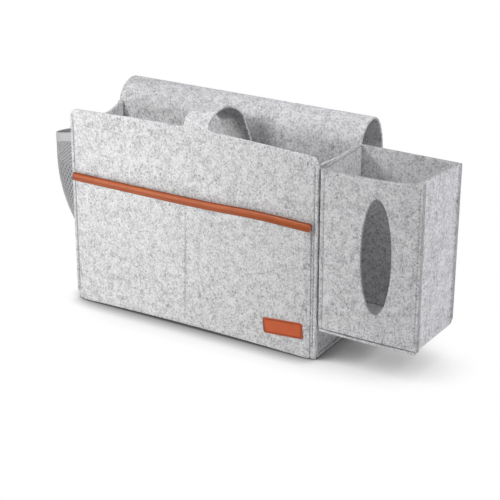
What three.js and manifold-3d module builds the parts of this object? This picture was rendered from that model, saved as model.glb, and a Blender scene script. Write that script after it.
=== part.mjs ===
// A bedside caddy sewn from grey felt: an open bag with a front pocket and a carry strap, a flap that hangs
// over a bed rail or tucks under a mattress, a net bottle pocket on the left and, on the right, a tissue box
// that pulls off its hook-and-loop pads.
// Millimetres, +Z up, +X along the front from left to right, +Y towards the bed. The origin is the middle of
// the bag's underside.

import * as THREE from "three";
import { mergeVertices } from "three/addons/utils/BufferGeometryUtils.js";
import Module from "manifold-3d";

const wasm = await Module();
wasm.setup();

// Felt, seams and joins
const FELT = 3;
const JOIN_GAP = 0.3; // between pieces that are sewn or stuck together
const SEAM_RIDGE = 4.6; // how far the sewn edges stand out past the side walls
const FOLD_RADIUS = 3; // middle of the felt where a side wall turns out into its ridge

// Bag
const BAG_WIDTH = 330; // across the seam ridges
const BAG_DEPTH = 102; // outside of the front to outside of the back
const BAG_HEIGHT = 240; // front panel, at its ends
const BASE_CORNER = 2;
const TOP_CROWN = 3; // rise of the front's top edge towards the middle
const TOP_BOW = 5; // how far the strap draws that edge inwards
const TOP_CORNER = 9;
const GUSSET_DROP_FRONT = 7; // top of a side wall below the front panel, at the front
const GUSSET_DROP_BACK = 17; // and at the back
const LEFT_SAG = 6; // the left side wall sags and is drawn in
const LEFT_LEAN = -5.5;
const RIGHT_LEAN = 3.5; // the right one leans out to the tissue box
const LEAN_HEIGHT = 80; // height over which the side walls lean

// Carry strap, cut in one piece with the front and sewn inside the back
const STRAP_WIDTH = 32;
const STRAP_OFFSET = 6; // its middle, right of the bag's
const STRAP_RISE = 18; // top of the arch above the front's top edge
const STRAP_CREST = 30.6; // from the front's top edge back to the top of the arch
const STRAP_BACK_REACH = 66; // oval that the strap follows from there until it meets the back
const STRAP_BACK_FALL = 80;
const STRAP_TWIST = 9; // how much lower its left edge lies towards the back
const STRAP_TAIL = 34;

// Flap: it rises from the back, bends over and hangs down behind
const BEND_DROP = 20; // start of the bend below the front's top edge
const BEND_RISE = 29;
const BEND_CREST = 28.5; // from the back panel to the top of the bend
const FLAP_REACH = 24; // from the top of the bend back to the hanging leg
const FLAP_SHOULDER = 49; // from the top of the bend down to the straight leg
const FLAP_LEG = 155;
const FLAP_CORNER = 14;

// Front pocket, its binding and its label
const POCKET_INSET = 7; // from the ridges to the pocket's ends
const POCKET_HEIGHT = 160.5;
const POCKET_STANDOFF = 1.8; // room for the binding at the mouth
const POCKET_GAPE = 4; // how far the mouth stands open
const BINDING = 0.9;
const BINDING_HEIGHT = 9.2;
const LABEL_WIDTH = 51;
const LABEL_HEIGHT = 19.5;
const LABEL = 1.2;
const LABEL_CORNER = 3;
const LABEL_TILT = 5; // degrees, rising to the right
const LABEL_FROM_RIDGE = 40; // from the right ridge to the label's middle
const LABEL_LIFT = 31; // its middle above the floor

// Net bottle pocket and its elastic rim
const NET = 1.2;
const NET_BULGE = 55.5;
const NET_DEPTH = 124; // from the rim at the seams down to the sewn bottom
const NET_SEWN_EDGE = 0.5; // bulge left at the sewn bottom edge
const NET_ROUND = 80; // height over which the bottom rounds out to the full bulge
const RIM_DROP = 31; // rim at the seams below the front's top edge
const RIM_SAG = 13; // and lower again at the front of the bulge
const RIM_TILT = 12; // how much lower the rim is at the back
const RIM_HEIGHT = 11;
const RIM = 1.8;

// Tissue box
const BOX_WIDTH = 123.2;
const BOX_DEPTH = 96.3;
const BOX_SETBACK = 2.8; // its front behind the bag's
const BOX_LIFT = 35.5; // its underside above the floor
const BOX_HEIGHT = 191.5;
const BOX_PEAK = 6.8; // its front right corner stands higher
const BOX_CORNER = 5; // outside of the felt where the front wraps into the left wall
const SLOT_WIDTH = 36.5;
const SLOT_HEIGHT = 134;
const SLOT_OFFSET = 8.4; // its middle, right of the box's
const SLOT_LIFT = 102.5; // its middle above the box's underside

// Hook-and-loop pads
const PAD_WIDTH = 36;
const PAD_HEIGHT = 62;
const PAD = 2;
const PAD_CORNER = 1.5;
const PAD_SPACING = 40; // between the middles of the two that hold the box
const PAD_LIFT = 118; // their middles above the floor
const REAR_PAD_INSET = 24; // from the ridge to the middle of a pad behind the bag
const REAR_PAD_DROP = 1; // below the start of the bend

// Places that follow from the sizes above
const RIDGE_X = BAG_WIDTH / 2;
const FRONT_Y = -BAG_DEPTH / 2;
const BACK_Y = BAG_DEPTH / 2;
const WALL_X = RIDGE_X - SEAM_RIDGE; // outside of the side walls
const INNER_Y = BACK_Y - FELT - JOIN_GAP; // half the room between the front and the back
const RIDGE_Y = INNER_Y - FELT / 2; // middle of the ridges
const BEND_Z = BAG_HEIGHT - BEND_DROP;
const POCKET_X = RIDGE_X - POCKET_INSET;
const NET_BOTTOM = BAG_HEIGHT - RIM_DROP - NET_DEPTH;
const BOX_X = Math.max(RIDGE_X + JOIN_GAP, WALL_X + 2 * PAD + 3 * JOIN_GAP);
const BOX_RIGHT = BOX_X + BOX_WIDTH;
const BOX_FRONT = FRONT_Y + BOX_SETBACK;
const BOX_BACK = BOX_FRONT + BOX_DEPTH;

const FELT_FINISH = { color: 0xc9cacc, roughness: 0.95, metalness: 0 };
const TAN_FINISH = { color: 0xb45a32, roughness: 0.5, metalness: 0 };
const NET_FINISH = { color: 0x8e9094, roughness: 0.8, metalness: 0 };
const ELASTIC_FINISH = { color: 0xa9abae, roughness: 0.85, metalness: 0 };
const LOOP_FINISH = { color: 0xe9e9e8, roughness: 0.95, metalness: 0 };
const HOOK_FINISH = { color: 0xdededd, roughness: 0.6, metalness: 0 };

const { lerp, smoothstep, degToRad } = THREE.MathUtils;
const QUARTER = Math.PI / 2;
const steps = (from, to, count) => Array.from({ length: count + 1 }, (_, i) => lerp(from, to, i / count));

function piece(name, geometry, finish) {
  const mesh = new THREE.Mesh(geometry, new THREE.MeshStandardMaterial(finish));
  mesh.name = name;
  return mesh;
}

// A sheet of even thickness: a grid on its middle surface, thickened both ways along the normals.
// surface(u, v) gives a point, with u and v from 0 to 1.
function sheet(surface, us, vs, thickness) {
  const nudge = 1e-4;
  const slope = (at, t) => at(Math.min(t + nudge, 1)).sub(at(Math.max(t - nudge, 0)));
  const outer = [];
  const inner = [];
  for (const u of us) {
    for (const v of vs) {
      const along = slope((t) => surface(t, v), u);
      const across = slope((t) => surface(u, t), v);
      const normal = along.cross(across).setLength(thickness / 2);
      outer.push(...surface(u, v).add(normal));
      inner.push(...surface(u, v).sub(normal));
    }
  }
  const rows = vs.length;
  const lastColumn = us.length - 1;
  const lastRow = rows - 1;
  const top = (i, j) => i * rows + j;
  const under = (i, j) => (us.length + i) * rows + j;
  const faces = [];
  const quad = (a, b, c, d) => faces.push(a, b, c, a, c, d);
  for (let i = 0; i < lastColumn; i++) {
    for (let j = 0; j < lastRow; j++) {
      quad(top(i, j), top(i + 1, j), top(i + 1, j + 1), top(i, j + 1));
      quad(under(i, j), under(i, j + 1), under(i + 1, j + 1), under(i + 1, j));
    }
    quad(under(i, 0), under(i + 1, 0), top(i + 1, 0), top(i, 0));
    quad(top(i, lastRow), top(i + 1, lastRow), under(i + 1, lastRow), under(i, lastRow));
  }
  for (let j = 0; j < lastRow; j++) {
    quad(top(0, j), top(0, j + 1), under(0, j + 1), under(0, j));
    quad(under(lastColumn, j), under(lastColumn, j + 1), top(lastColumn, j + 1), top(lastColumn, j));
  }
  const geometry = new THREE.BufferGeometry();
  geometry.setAttribute("position", new THREE.Float32BufferAttribute([...outer, ...inner], 3));
  geometry.setIndex(faces);
  return geometry;
}

// A flat line of lines and arcs, followed by its length
function route(...curves) {
  const path = new THREE.CurvePath();
  curves.forEach((curve) => path.add(curve));
  return path;
}
const line = (x1, y1, x2, y2) => new THREE.LineCurve(new THREE.Vector2(x1, y1), new THREE.Vector2(x2, y2));
const arc = (x, y, radiusX, radiusY, from, to) =>
  new THREE.EllipseCurve(x, y, radiusX, radiusY, from, to, to < from);

// Shares of a route's length at which it is sampled: a number of steps on each line or arc
function stations(path, stepsOnEach) {
  const lengths = path.getCurveLengths();
  const total = path.getLength();
  const shares = [0];
  stepsOnEach.forEach((count, i) => {
    const start = i === 0 ? 0 : lengths[i - 1];
    shares.push(...steps(start / total, lengths[i] / total, count).slice(1));
  });
  return shares;
}

// How far a rounded corner cuts back an edge, at a distance from the side
function cornerCut(distance, radius) {
  const inside = Math.max(radius - distance, 0);
  return radius - Math.sqrt(radius * radius - inside * inside);
}

// Stations across a width with two rounded corners, closer together at the corners
function acrossCorners(width, radius, middleSteps) {
  const share = radius / width;
  const corner = steps(0, QUARTER, 4).map((angle) => share * (1 - Math.cos(angle)));
  const middle = steps(share, 1 - share, middleSteps).slice(1, -1);
  return [...corner, ...middle, ...corner.map((t) => 1 - t).reverse()];
}

// A flat plate lying on its back and centred. Its corners are rounded by one radius, or by one each, counted
// from the front right one round by the back.
function plate(width, height, corners, thickness) {
  const outline = new THREE.Shape();
  const sides = [[1, -1], [1, 1], [-1, 1], [-1, -1]];
  sides.forEach(([right, back], i) => {
    const radius = [corners].flat().at(i % [corners].flat().length);
    const start = (i - 1) * QUARTER;
    outline.absarc(right * (width / 2 - radius), back * (height / 2 - radius), radius, start, start + QUARTER);
  });
  return new THREE.ExtrudeGeometry(outline, { depth: thickness, bevelEnabled: false, curveSegments: 5 });
}

function cut(geometry, tool) {
  const [body, hole] = [geometry, tool].map((source) => {
    const bare = source.clone();
    bare.deleteAttribute("normal");
    bare.deleteAttribute("uv");
    const merged = mergeVertices(bare, 1e-4);
    const vertProperties = new Float32Array(merged.attributes.position.array);
    const triVerts = new Uint32Array(merged.index.array);
    return new wasm.Manifold(new wasm.Mesh({ numProp: 3, vertProperties, triVerts }));
  });
  const mesh = body.subtract(hole).getMesh();
  const result = new THREE.BufferGeometry();
  result.setAttribute("position", new THREE.Float32BufferAttribute(mesh.vertProperties, 3));
  result.setIndex([...mesh.triVerts]);
  return result;
}

// Front panel: flat where the sides are sewn to it, drawn in along the top
const frontTop = (x) => BAG_HEIGHT + TOP_CROWN * (1 - (x / RIDGE_X) ** 2);
function frontBow(x, z) {
  const span = Math.min(Math.abs(x) / (WALL_X - FELT), 1);
  return TOP_BOW * (1 - span ** 2) ** 2 * smoothstep(z, POCKET_HEIGHT, BAG_HEIGHT);
}

function frontPanel() {
  const surface = (u, v) => {
    const x = RIDGE_X * (2 * u - 1);
    const z = v * (frontTop(x) - cornerCut(RIDGE_X - Math.abs(x), TOP_CORNER));
    return new THREE.Vector3(x, FRONT_Y + FELT / 2 + frontBow(x, z), z);
  };
  const rows = [0, ...steps(POCKET_HEIGHT / BAG_HEIGHT, 1, 5)];
  return sheet(surface, acrossCorners(BAG_WIDTH, TOP_CORNER, 20), rows, FELT);
}

// Plan of a side wall whose front and back edges turn out into ridges, as far as ridgeX and depth
function sidePlan(ridgeX, middleY, depth) {
  const wallX = ridgeX - SEAM_RIDGE - FELT / 2;
  const turnX = wallX + FOLD_RADIUS;
  const front = middleY - depth;
  const back = middleY + depth;
  return route(
    line(ridgeX, front, turnX, front),
    arc(turnX, front + FOLD_RADIUS, FOLD_RADIUS, FOLD_RADIUS, -QUARTER, -2 * QUARTER),
    line(wallX, front + FOLD_RADIUS, wallX, back - FOLD_RADIUS),
    arc(turnX, back - FOLD_RADIUS, FOLD_RADIUS, FOLD_RADIUS, 2 * QUARTER, QUARTER),
    line(turnX, back, ridgeX, back),
  );
}

function gusset(side, lean, sag) {
  const plan = sidePlan(RIDGE_X, 0, RIDGE_Y);
  const flatY = RIDGE_Y - FOLD_RADIUS;
  const surface = (u, v) => {
    const { x, y } = plan.getPoint(u);
    const middle = Math.max(1 - (y / flatY) ** 2, 0) ** 2;
    const slant = smoothstep(y, FRONT_Y, BACK_Y);
    const top = BAG_HEIGHT - lerp(GUSSET_DROP_FRONT, GUSSET_DROP_BACK, slant) - sag * middle;
    const z = lerp(FELT + JOIN_GAP, top, v);
    return new THREE.Vector3(side * (x + lean * middle * smoothstep(z, top - LEAN_HEIGHT, top)), y, z);
  };
  return sheet(surface, stations(plan, [1, 4, 14, 4, 1]), [0, ...steps(0.6, 1, 7)], FELT);
}

// A band along X that follows a route in Y and Z, with rounded corners at its far end
function band(path, width, stepsOnEach, corner = 0) {
  const length = path.getLength();
  const surface = (u, v) => {
    const x = width * (u - 0.5);
    const reach = corner ? 1 - cornerCut(width / 2 - Math.abs(x), corner) / length : 1;
    const at = path.getPoint(v * reach);
    return new THREE.Vector3(x, at.x, at.y);
  };
  const us = corner ? acrossCorners(width, corner, 1) : [0, 1];
  return sheet(surface, us, stations(path, stepsOnEach), FELT);
}

function carryStrap() {
  const startY = FRONT_Y + FELT / 2 + frontBow(STRAP_OFFSET, BAG_HEIGHT);
  const startZ = frontTop(STRAP_OFFSET) + JOIN_GAP;
  const crestY = startY + STRAP_CREST;
  const ovalZ = startZ + STRAP_RISE - STRAP_BACK_FALL;
  const meets = Math.acos((RIDGE_Y - crestY) / STRAP_BACK_REACH);
  const tailZ = ovalZ + STRAP_BACK_FALL * Math.sin(meets);
  const path = route(
    arc(crestY, startZ, STRAP_CREST, STRAP_RISE, 2 * QUARTER, QUARTER),
    arc(crestY, ovalZ, STRAP_BACK_REACH, STRAP_BACK_FALL, QUARTER, meets),
    line(RIDGE_Y, tailZ, RIDGE_Y, tailZ - STRAP_TAIL),
  );
  const surface = (u, v) => {
    const at = path.getPoint(v);
    const drop = STRAP_TWIST * (1 - u) * smoothstep(v, 0.1, 0.6);
    return new THREE.Vector3(STRAP_OFFSET + STRAP_WIDTH * (u - 0.5), at.x, at.y - drop);
  };
  return sheet(surface, [0, 1], stations(path, [10, 12, 1]), FELT);
}

// The back panel goes on up into the first half of the bend, and the flap is the second half and the leg
const PANEL_Y = BACK_Y - FELT / 2;
const CREST_Y = PANEL_Y + BEND_CREST;
const CREST_Z = BEND_Z + BEND_RISE;

function backPanel() {
  const path = route(
    line(PANEL_Y, 0, PANEL_Y, BEND_Z),
    arc(CREST_Y, BEND_Z, BEND_CREST, BEND_RISE, 2 * QUARTER, QUARTER),
  );
  return band(path, BAG_WIDTH, [1, 12]);
}

function hangerFlap() {
  const startY = CREST_Y + JOIN_GAP;
  const legZ = CREST_Z - FLAP_SHOULDER;
  const path = route(
    arc(startY, legZ, FLAP_REACH, FLAP_SHOULDER, QUARTER, 0),
    line(startY + FLAP_REACH, legZ, startY + FLAP_REACH, legZ - FLAP_LEG),
  );
  return band(path, BAG_WIDTH, [12, 4], FLAP_CORNER);
}

// Front pocket: sewn at the ends and the bottom, and gaping a little at the mouth
function pocketY(x, z) {
  const gape = POCKET_STANDOFF + POCKET_GAPE * (1 - (x / POCKET_X) ** 4);
  return FRONT_Y - JOIN_GAP - FELT / 2 - gape * (z / POCKET_HEIGHT) ** 1.5;
}
const POCKET_COLUMNS = steps(0, 1, 24);
const pocketX = (u) => POCKET_X * (2 * u - 1);

function frontPocket() {
  const surface = (u, v) => {
    const z = v * POCKET_HEIGHT;
    return new THREE.Vector3(pocketX(u), pocketY(pocketX(u), z), z);
  };
  return sheet(surface, POCKET_COLUMNS, [0, ...steps(0.3, 1, 7)], FELT);
}

// Binding: folded over the pocket's mouth, with a leg down each side of the felt
function pocketBinding() {
  const fold = FELT / 2 + JOIN_GAP + BINDING / 2;
  const leg = BINDING_HEIGHT - fold - BINDING / 2;
  const section = route(
    line(-fold, -leg, -fold, 0),
    arc(0, 0, fold, fold, 2 * QUARTER, 0),
    line(fold, 0, fold, -leg),
  );
  const surface = (u, v) => {
    const x = pocketX(u);
    const at = section.getPoint(v);
    const y = pocketY(x, POCKET_HEIGHT + Math.min(at.y, 0)) + at.x;
    return new THREE.Vector3(x, y, POCKET_HEIGHT + at.y);
  };
  return sheet(surface, POCKET_COLUMNS, stations(section, [2, 6, 2]), BINDING);
}

function labelPatch() {
  const label = piece("label_patch", plate(LABEL_WIDTH, LABEL_HEIGHT, LABEL_CORNER, LABEL), TAN_FINISH);
  const x = RIDGE_X - LABEL_FROM_RIDGE;
  const bulge = pocketY(x, LABEL_LIFT + LABEL_HEIGHT) - FELT / 2;
  label.position.set(x, bulge - JOIN_GAP, LABEL_LIFT);
  label.rotation.set(QUARTER, 0, degToRad(LABEL_TILT));
  return label;
}

// Net pocket: half an oval in plan, sewn behind the left ridges, with a round bottom and a sagging rim
function rimTop(angle) {
  const tilt = (RIM_TILT * (1 + Math.sin(angle))) / 2;
  return BAG_HEIGHT - RIM_DROP - RIM_SAG * Math.cos(angle) - tilt;
}
const netAngle = (u) => (u - 0.5) * 2 * QUARTER;
function netPoint(angle, bulge, z) {
  const halfDepth = RIDGE_Y - FOLD_RADIUS - Math.max(NET, RIM) / 2;
  const x = -WALL_X - JOIN_GAP - bulge * Math.cos(angle);
  return new THREE.Vector3(x, halfDepth * Math.sin(angle), z);
}

function netPocket() {
  const roundShare = 0.65;
  const sewn = Math.asin(NET_SEWN_EDGE / NET_BULGE);
  const surface = (u, v) => {
    const angle = netAngle(u);
    const turn = lerp(sewn, QUARTER, Math.min(v / roundShare, 1));
    const full = NET_BOTTOM + NET_ROUND;
    const straight = Math.max(v - roundShare, 0) / (1 - roundShare);
    const top = rimTop(angle) - RIM_HEIGHT - JOIN_GAP;
    const z = full - NET_ROUND * Math.cos(turn) + straight * (top - full);
    return netPoint(angle, NET_BULGE * Math.sin(turn), z);
  };
  const rows = [...steps(0, roundShare, 10), 1];
  return sheet(surface, steps(0, 1, 24), rows, NET);
}

function netRim() {
  const surface = (u, v) => netPoint(netAngle(u), NET_BULGE, rimTop(netAngle(u)) - RIM_HEIGHT * (1 - v));
  return sheet(surface, steps(0, 1, 24), [0, 1], RIM);
}

// Tissue box: walls on a base, with one piece that wraps from the front round into the left wall
function boxTop(x, y) {
  const corner = ((x - BOX_X) / BOX_WIDTH) ** 4 * (1 - smoothstep(y, BOX_FRONT, BOX_BACK));
  return BOX_LIFT + BOX_HEIGHT + BOX_PEAK * corner;
}

function boxWall(plan, stepsOnEach) {
  const surface = (u, v) => {
    const { x, y } = plan.getPoint(u);
    return new THREE.Vector3(x, y, lerp(BOX_LIFT + FELT + JOIN_GAP, boxTop(x, y), v));
  };
  return sheet(surface, stations(plan, stepsOnEach), [0, 1], FELT);
}

function tissueFront() {
  const frontY = BOX_FRONT + FELT / 2;
  const leftX = BOX_X + FELT / 2;
  const turn = BOX_CORNER - FELT / 2;
  const plan = route(
    line(BOX_RIGHT, frontY, leftX + turn, frontY),
    arc(leftX + turn, frontY + turn, turn, turn, -QUARTER, -2 * QUARTER),
    line(leftX, frontY + turn, leftX, BOX_BACK - FELT - JOIN_GAP),
  );
  const slot = new THREE.Shape().absellipse(0, 0, SLOT_WIDTH / 2, SLOT_HEIGHT / 2, 0, 4 * QUARTER);
  const tool = new THREE.ExtrudeGeometry(slot, { depth: 4 * FELT, bevelEnabled: false, curveSegments: 40 });
  tool.rotateX(QUARTER);
  tool.translate(BOX_X + BOX_WIDTH / 2 + SLOT_OFFSET, BOX_FRONT + 2 * FELT, BOX_LIFT + SLOT_LIFT);
  return cut(boxWall(plan, [8, 6, 4]), tool);
}

function tissueBack() {
  const y = BOX_BACK - FELT / 2;
  return boxWall(route(line(BOX_X, y, BOX_RIGHT, y)), [1]);
}

function tissueSide() {
  const depth = BOX_DEPTH / 2 - 1.5 * FELT - JOIN_GAP;
  const plan = sidePlan(BOX_RIGHT, (BOX_FRONT + BOX_BACK) / 2, depth);
  return boxWall(plan, [1, 4, 8, 4, 1]);
}

function tissueBase() {
  const corners = [BASE_CORNER, BASE_CORNER, BASE_CORNER, BOX_CORNER];
  const base = piece("tissue_base", plate(BOX_WIDTH, BOX_DEPTH, corners, FELT), FELT_FINISH);
  base.position.set((BOX_X + BOX_RIGHT) / 2, (BOX_FRONT + BOX_BACK) / 2, BOX_LIFT);
  return base;
}

// Pads: the loops behind the bag face the bed, those on the right wall hold the hooks of the tissue box
const pad = (name, finish) => piece(name, plate(PAD_WIDTH, PAD_HEIGHT, PAD_CORNER, PAD), finish);

function rearPad(name, side) {
  const mesh = pad(name, LOOP_FINISH);
  const z = BEND_Z - REAR_PAD_DROP - PAD_HEIGHT / 2;
  mesh.position.set(side * (RIDGE_X - REAR_PAD_INSET), BACK_Y + JOIN_GAP + PAD, z);
  mesh.rotation.set(QUARTER, 0, 0);
  return mesh;
}

function sidePad(name, finish, x, side) {
  const mesh = pad(name, finish);
  mesh.position.set(x, (side * PAD_SPACING) / 2, PAD_LIFT);
  mesh.rotation.set(QUARTER, 0, QUARTER, "ZYX");
  return mesh;
}

const basePanel = piece("base_panel", plate(BAG_WIDTH, 2 * INNER_Y, BASE_CORNER, FELT), FELT_FINISH);
const loopX = WALL_X + JOIN_GAP;
const hookX = BOX_X - JOIN_GAP - PAD;

const bag = new THREE.Group().add(
  basePanel,
  piece("front_panel", frontPanel(), FELT_FINISH),
  piece("carry_strap", carryStrap(), FELT_FINISH),
  piece("back_panel", backPanel(), FELT_FINISH),
  piece("left_gusset", gusset(-1, LEFT_LEAN, LEFT_SAG), FELT_FINISH),
  piece("right_gusset", gusset(1, RIGHT_LEAN, 0), FELT_FINISH),
  piece("front_pocket", frontPocket(), FELT_FINISH),
  piece("pocket_binding", pocketBinding(), TAN_FINISH),
  labelPatch(),
  piece("net_pocket", netPocket(), NET_FINISH),
  piece("net_rim", netRim(), ELASTIC_FINISH),
  rearPad("rear_loop_pad_left", -1),
  rearPad("rear_loop_pad_right", 1),
  sidePad("side_loop_pad_front", LOOP_FINISH, loopX, -1),
  sidePad("side_loop_pad_back", LOOP_FINISH, loopX, 1),
);

const flap = new THREE.Group().add(piece("hanger_flap", hangerFlap(), FELT_FINISH));

const tissueBox = new THREE.Group().add(
  piece("tissue_front", tissueFront(), FELT_FINISH),
  piece("tissue_back", tissueBack(), FELT_FINISH),
  piece("tissue_side", tissueSide(), FELT_FINISH),
  tissueBase(),
  sidePad("hook_pad_front", HOOK_FINISH, hookX, -1),
  sidePad("hook_pad_back", HOOK_FINISH, hookX, 1),
);

export default new THREE.Group().add(bag, flap, tissueBox);
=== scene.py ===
"""The looks of a grey felt bedside caddy: an open bag with a front pocket, a strap, a flap that hangs
behind, a net bottle pocket and a pull-off tissue box. Shapes are worked out in millimetres, and the
meshes are made in metres."""

import math

import bpy
import numpy as np
from mathutils import Matrix, Vector
from mathutils.geometry import delaunay_2d_cdt

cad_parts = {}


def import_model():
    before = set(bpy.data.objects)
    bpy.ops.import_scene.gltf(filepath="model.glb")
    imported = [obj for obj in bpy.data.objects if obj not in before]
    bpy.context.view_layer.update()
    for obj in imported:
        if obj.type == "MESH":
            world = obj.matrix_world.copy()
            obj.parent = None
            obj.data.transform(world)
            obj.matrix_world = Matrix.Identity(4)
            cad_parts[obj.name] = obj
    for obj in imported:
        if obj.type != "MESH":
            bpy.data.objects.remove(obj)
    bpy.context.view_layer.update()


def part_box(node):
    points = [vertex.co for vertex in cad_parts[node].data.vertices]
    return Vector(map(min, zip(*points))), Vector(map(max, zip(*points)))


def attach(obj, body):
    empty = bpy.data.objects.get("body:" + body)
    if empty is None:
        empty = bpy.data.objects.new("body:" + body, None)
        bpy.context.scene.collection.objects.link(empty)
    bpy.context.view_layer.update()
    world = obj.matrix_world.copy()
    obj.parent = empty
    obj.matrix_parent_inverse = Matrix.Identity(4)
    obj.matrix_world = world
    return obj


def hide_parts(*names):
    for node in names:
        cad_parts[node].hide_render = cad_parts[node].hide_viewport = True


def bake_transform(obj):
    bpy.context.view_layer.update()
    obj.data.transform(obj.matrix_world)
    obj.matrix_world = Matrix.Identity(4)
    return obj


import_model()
MM = 0.001


def place(node):
    """Lowest and highest corner of a CAD node, in millimetres."""
    low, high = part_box(node)
    return np.array(low) / MM, np.array(high) / MM


# Places and sizes taken from the frame
(_, FRONT_Y, _), (RIDGE_X, _, FRONT_TOP) = place("front_panel")
(_, BACK_INSIDE, _), (_, CREST_Y, BACK_TOP) = place("back_panel")
(_, _, FLAP_END), (_, FLAP_Y, _) = place("hanger_flap")
BASE_LOW, BASE_HIGH = place("base_panel")
(STRAP_LEFT, _, STRAP_LOW), (STRAP_RIGHT, _, STRAP_TOP) = place("carry_strap")
POCKET_X, _, POCKET_TOP = place("front_pocket")[1]
LABEL_X, _, LABEL_Z = sum(place("label_patch")) / 2
NET_BOTTOM = place("net_pocket")[0][2]
(RIM_OUT, _, _), (_, RIM_BACK, RIM_TOP) = place("net_rim")
(BOX_X, BOX_FRONT, BOX_LIFT), (BOX_RIGHT, BOX_BACK, _) = place("tissue_base")
BOX_PEAK_Z = place("tissue_front")[1][2]
BOX_TOP_Z = place("tissue_back")[1][2]

FELT = BASE_HIGH[2] - BASE_LOW[2]
PANEL_Y = BACK_INSIDE + FELT / 2
BACK_Y = BACK_INSIDE + FELT
INNER_Y = BASE_HIGH[1]
RIDGE_Y = INNER_Y - FELT / 2
CREST_Z = BACK_TOP - FELT / 2
LEG_Y = FLAP_Y - FELT / 2
STRAP_X = (STRAP_LEFT + STRAP_RIGHT) / 2
STRAP_HALF = (STRAP_RIGHT - STRAP_LEFT) / 2
STRAP_CREST_Z = STRAP_TOP - FELT / 2

# Sewing and cut edges. A groove is a width and a depth, and sewing is a pitch, a length and a thread.
GAP = 0.3
EDGE = 1.1
# Painted shade on cut edges, as a share of the way to the dark colour.
EDGE_SHADE = 0.18
EDGE_RINGS, EDGE_ROUNDING = 5, 0.7
SEAM_RIDGE = 4.6
FOLD = 3.0
WALL_X = RIDGE_X - SEAM_RIDGE
STITCH_INSET = 3.8
STITCH_X = RIDGE_X - STITCH_INSET
SEAM_STEP = 0.5
FELT_SEWING = (4.2, 3.2, 0.65)
POCKET_SEWING = (3.4, 2.7, 0.5)
LABEL_SEWING = (2.4, 1.8, 0.5)
TAPE_SEWING = (3.2, 2.4, 0.5)
THREAD_SIDES = 6
LAID_SINK, FRONT_SINK, BACK_SINK, BOX_SINK = 0.1, 0.5, 0.6, 0.45

# Bag
TOP_CROWN = 3.0
TOP_BOW = 5.0
TOP_CORNER = 9.0
BAG_HEIGHT = FRONT_TOP - TOP_CROWN
BOTTOM_LIFT, LIFT_HEIGHT = 3.0, 70.0
LOW_CORNER = (5.0, 11.0)
BASE_CORNER, BACK_CORNER, FLAP_CORNER = 3.0, 1.5, 14.0
LEFT_LEAN, LEFT_DROP, LEFT_SAG = -5.5, (7.0, 17.0), 6.0
RIGHT_LEAN, RIGHT_DROP, RIGHT_SAG = 3.5, (12.0, 16.0), 0.0
LEAN_HEIGHT = 80.0
BASE_FLARE, FLARE_HEIGHT = 3.2, 12.0
RIDGE_GROOVE, BACK_GROOVE = (1.0, 0.8), (1.2, 0.7)
# Painted shade in the grooves beside the left and right ridges, and the width of painted shade lines.
RIDGE_SHADE, SHADE_WIDTH = (0.6, 0.2), 0.6
GROOVE_RISE, GROOVE_FADE, GROOVE_TOP = 20.0, 6.0, BAG_HEIGHT - 8.0
FRONT_ROW = (14.0, BAG_HEIGHT - 13.0)
BACK_ROW_FOOT, BACK_ROW_X, BACK_ROW_END = 8.0, 136.0, 243.0
STRAP_CREST = 30.6
STRAP_BACK = (78.0, 114.0)
STRAP_BEND_Y, STRAP_CREASE = 25.0, (32.0, 239.5)
STRAP_FOOT, STRAP_SKEW, STRAP_TAIL = (39.5, 207.0), 5.0, 10.0
STRAP_FILLET = 4.0
STRAP_TWIST, TWIST_SHARE = 9.0, 0.45
TAIL_INSET, TAIL_HEIGHT = 4.0, 24.0
BEND_DROP = 20.0
BEND_Z = BAG_HEIGHT - BEND_DROP
CREST_DROOP = (4.6, 1.4)
FLAP_SHOULDER = 49.0

# Pocket, binding and label
STANDOFF, GAPE = 1.8, 0.6
POCKET_CORNERS = (6.0, 1.5, 1.0, 1.0)
POCKET_END, POCKET_LOOSE, POCKET_FADE = 12.0, 10.0, 25.0
POCKET_CROWN, POCKET_PEAK, POCKET_SPREAD, POCKET_RISE = 2.3, 0.6, 0.35, 0.25
END_PRESS, END_REACH = 2.2, 7.0
FOOT_PRESS, FOOT_REACH = 0.7, 5.0
MOST_PRESS = 0.85 * FELT
SEAM_TOP_X, SEAM_BOTTOM_X = -2.4, -7.0
# The pocket's middle seam: its groove, the painted shade along it, and how deep its stitches sink.
SEAM_GROOVE, SEAM_SHADE, SEAM_SINK = (0.9, 0.5), 0.22, 0.35
SEAM_ENDS, SEAM_FADE, SEAM_ROW = (6.0, 150.0), 5.0, (9.0, 148.0)
CREASE_START, CREASE_END, CREASE_GROOVE = (118.0, 5.5), (POCKET_X, 11.5), (1.3, 1.0)
BINDING, BINDING_HEIGHT = 0.9, 9.2
BINDING_LAP = (2.0, 1.0)
BINDING_EDGE, BINDING_CORNER, BINDING_CROWN = 0.35, 0.8, 0.5
# Where the binding's stitch line lies, its groove, and the painted shade along it.
BINDING_LINE, BINDING_GROOVE, BINDING_LINE_SHADE = 3.0, (0.6, 0.35), (0.5, 0.25)
# Painted shade over the whole binding, left out along the fold as a painted highlight of this width, and
# painted shade inside the mouth.
BINDING_SHADE, BINDING_PAINTED_HIGHLIGHT = 0.16, 1.0
INSIDE_SHADE, INSIDE_START, INSIDE_FADE = 0.5, 1.2, 1.4
BINDING_STITCH, BINDING_PITCH = (0.4, 2.4), 2.0
BINDING_THREAD, BINDING_SINK = 0.6, -0.15
LABEL_SIZE = (51.0, 19.5)
LABEL, LABEL_GAP = 1.2, 0.1
LABEL_CORNER, LABEL_INSET = 3.0, 1.7
LABEL_GROOVE, LABEL_SINK = (0.6, 0.25), 0.2
# The label's cut edge: its rounding, and the painted shade on it.
LABEL_EDGE, LABEL_EDGE_SHADE = 0.4, 0.35
LABEL_TILT = math.radians(5)

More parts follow.
